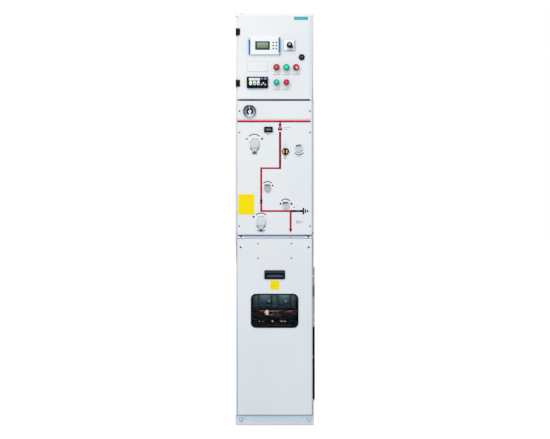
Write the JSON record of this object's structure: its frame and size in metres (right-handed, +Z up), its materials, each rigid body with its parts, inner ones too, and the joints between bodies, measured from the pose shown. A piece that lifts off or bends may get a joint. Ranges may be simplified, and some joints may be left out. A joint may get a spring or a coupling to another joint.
{
  "type": "gas insulated ring main unit",
  "caption": "Tall floor-standing switchgear cubicle with a windowed cable compartment, a mimic panel with operating sockets, a gauge strip and a hinged control-box door on top.",
  "frame": {"origin": "on the floor, in the middle of the outline seen from above", "axes": "+Z up, front towards -Y, +X to the right of someone facing the front"},
  "size_m": [0.425, 0.854, 2.2],
  "materials": {
    "panel_paint": "light grey powder coat, satin",
    "wall_paint": "light grey powder coat, satin",
    "frame_paint": "blue-grey powder coat, satin",
    "plinth_paint": "blue-grey powder coat, satin",
    "galvanised": "dull zinc",
    "stainless": "dull stainless sheet",
    "epoxy": "cast resin, brown",
    "black_rubber": "matt black",
    "boot_rubber": "dark grey screened boot",
    "copper": "bare copper bar",
    "clear_sheet": "clear polycarbonate",
    "black_plastic": "fine-grained black moulding",
    "black_metal": "black enamel",
    "socket_grey": "pale grey moulding",
    "white_plastic": "white moulding",
    "blue_plastic": "mid blue moulding",
    "screen": "green liquid crystal screen",
    "bezel_metal": "dark satin metal",
    "red_lens": "tinted lens",
    "green_lens": "tinted lens",
    "green_cap": "gloss moulding",
    "red_cap": "gloss moulding"
  },
  "bodies": {
    "cabinet": {"plinth_rails": "plinth_paint", "plinth_sides": "plinth_paint", "floor_plates": "galvanised", "left_side_wall": "wall_paint", "right_side_wall": "wall_paint", "rear_wall": "wall_paint", "main_top": "wall_paint", "cross_rail": "frame_paint", "side_cover": "galvanised", "side_edge_seal": "black_rubber", "gas_tank": "stainless", "tank_rails": "galvanised", "cable_bushings": "epoxy", "elbow_connectors": "boot_rubber", "earth_bar": "copper", "earth_bar_brackets": "galvanised", "clamp_rail": "black_metal", "cable_cover": "panel_paint", "window_pane": "clear_sheet", "window_gasket": "black_rubber", "flush_handle": "black_plastic", "mimic_panel": "panel_paint", "main_sockets": "socket_grey", "small_sockets": "socket_grey", "position_indicator": "black_plastic", "operation_counter": "black_plastic", "gauge_panel": "panel_paint", "gauge_case": "black_metal", "gauge_glass": "clear_sheet", "lv_left_wall": "wall_paint", "lv_right_wall": "wall_paint", "lv_rear_wall": "wall_paint", "lv_cross_flanges": "frame_paint", "lv_roof": "wall_paint", "hinge_frame_leaves": "black_metal"},
    "door": {"lv_door": "panel_paint", "hinge_door_leaves": "black_metal", "relay_case": "white_plastic", "relay_end_caps": "blue_plastic", "relay_screen": "screen", "relay_keys": "black_rubber", "voltage_indicator": "black_plastic", "selector_plate": "white_plastic", "lamp_bezels": "bezel_metal", "red_lamps": "red_lens", "green_lamp": "green_lens", "button_bezels": "bezel_metal", "door_lock": "black_metal"},
    "selector": {"selector_knob": "black_plastic"},
    "close_button": {"green_button": "green_cap"},
    "trip_button": {"red_button": "red_cap"}
  },
  "joints": [
    {"name": "door_hinge", "type": "hinge", "parent": "cabinet", "child": "door", "pos_m": [-0.2035, -0.403, 1.967], "axis": [0, 0, -1], "range_deg": [0, 120]},
    {"name": "selector_turn", "type": "hinge", "parent": "door", "child": "selector", "pos_m": [0.079, -0.4, 2.0325], "axis": [0, 1, 0], "range_deg": [0, 90]},
    {"name": "close_button_press", "type": "slide", "parent": "door", "child": "close_button", "axis": [0, 1, 0], "range_m": [0, 0.004], "stiffness_N_per_m": 800, "springref_m": -0.002},
    {"name": "trip_button_press", "type": "slide", "parent": "door", "child": "trip_button", "axis": [0, 1, 0], "range_m": [0, 0.004], "stiffness_N_per_m": 800, "springref_m": -0.002}
  ]
}
